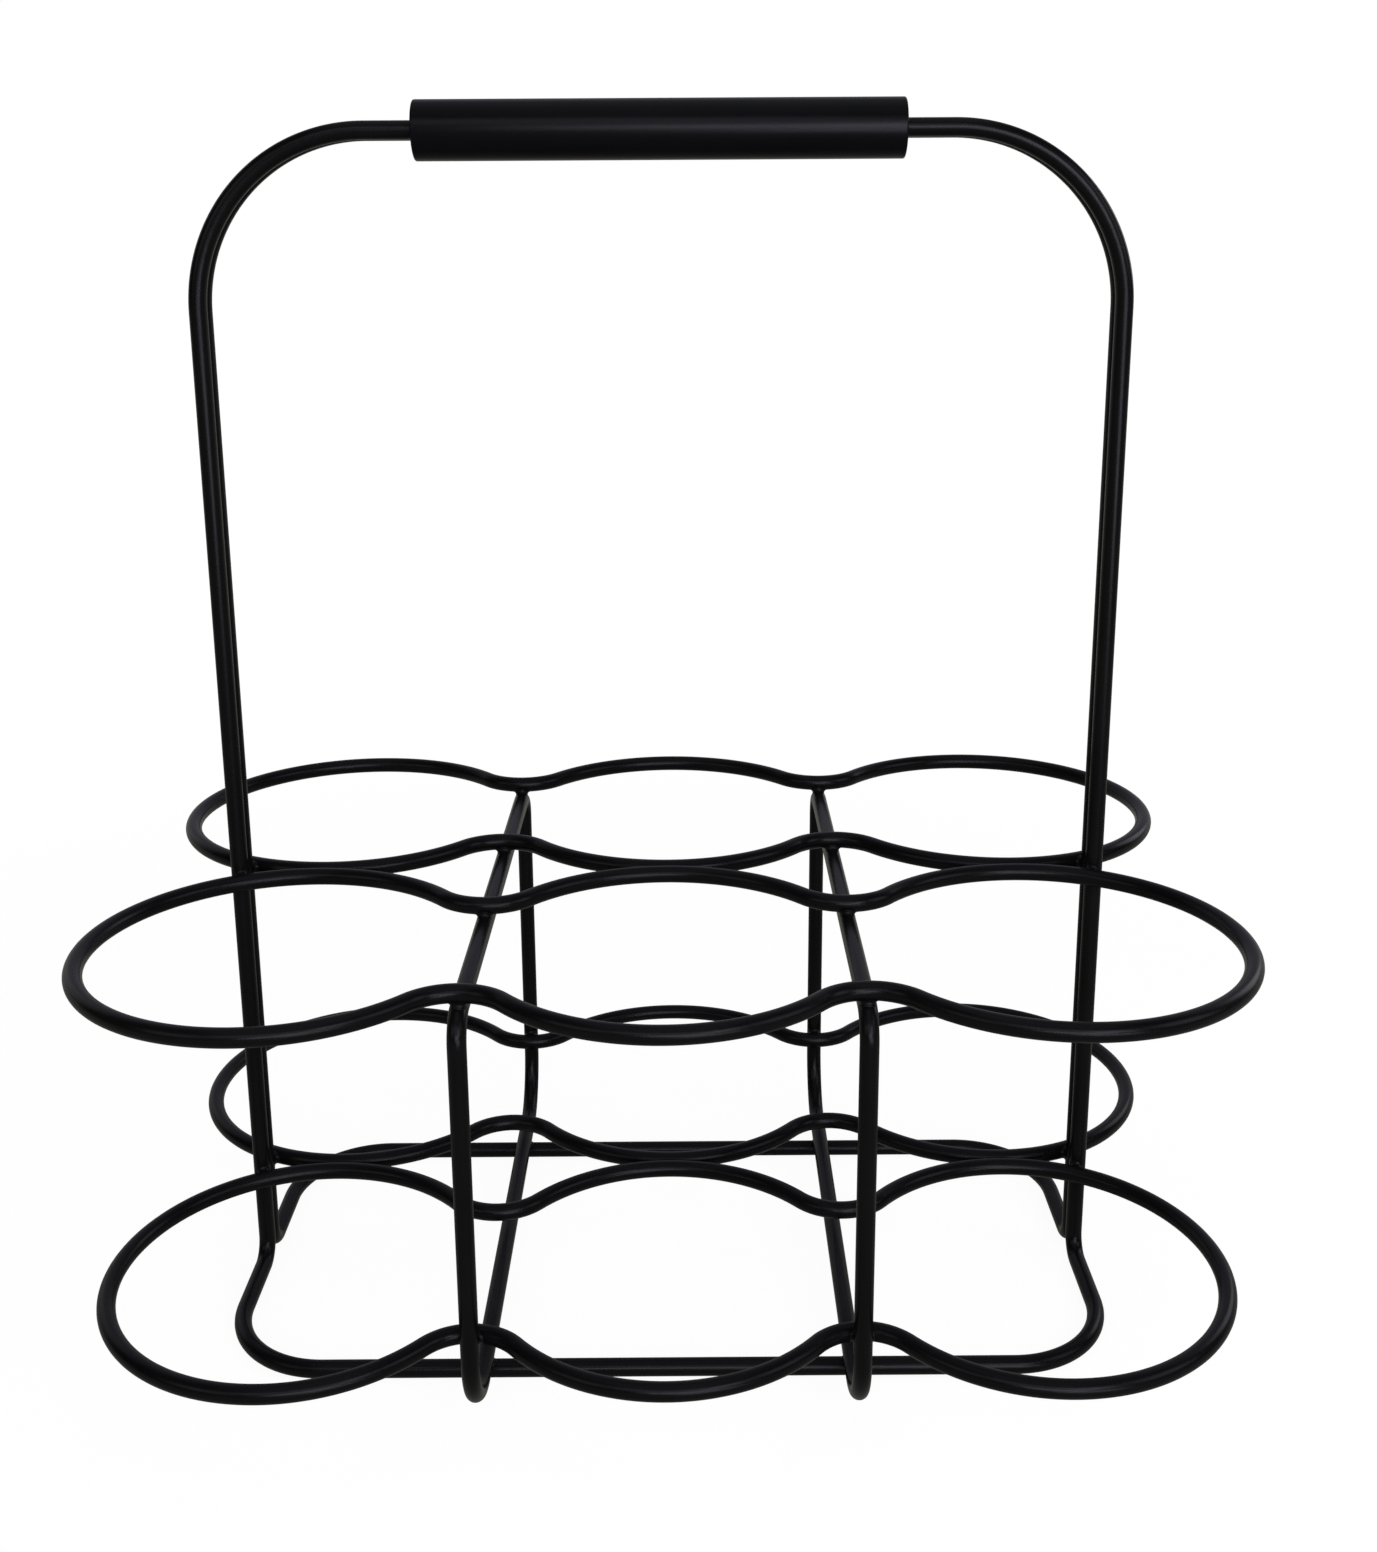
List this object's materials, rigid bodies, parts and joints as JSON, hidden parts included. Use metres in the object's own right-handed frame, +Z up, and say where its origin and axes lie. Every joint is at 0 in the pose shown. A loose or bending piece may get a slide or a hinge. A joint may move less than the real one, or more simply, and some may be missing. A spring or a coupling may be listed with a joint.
{
  "type": "bottle caddy",
  "caption": "Wire bottle caddy: rows of round bays between wavy rings, with wire dividers, feet and a tall carrying handle with a turning sleeve grip.",
  "frame": {"origin": "on the floor, under the middle of the caddy", "axes": "+X along a row of bays and along the handle, +Y from the front row to the rear row, +Z up"},
  "size_m": [0.315, 0.218, 0.349],
  "materials": {
    "wire_coat": "satin black powder coat",
    "grip_plastic": "satin black moulded sleeve"
  },
  "bodies": {
    "caddy": {"lower_ring_front": "wire_coat", "lower_ring_rear": "wire_coat", "upper_ring_front": "wire_coat", "upper_ring_rear": "wire_coat", "frame_front": "wire_coat", "frame_rear": "wire_coat", "divider_left": "wire_coat", "divider_right": "wire_coat"},
    "grip": {"grip": "grip_plastic"}
  },
  "joints": [
    {"name": "grip_spin", "type": "hinge", "parent": "caddy", "child": "grip", "pos_m": [0, 0, 0.341], "axis": [1, 0, 0], "continuous": true}
  ]
}
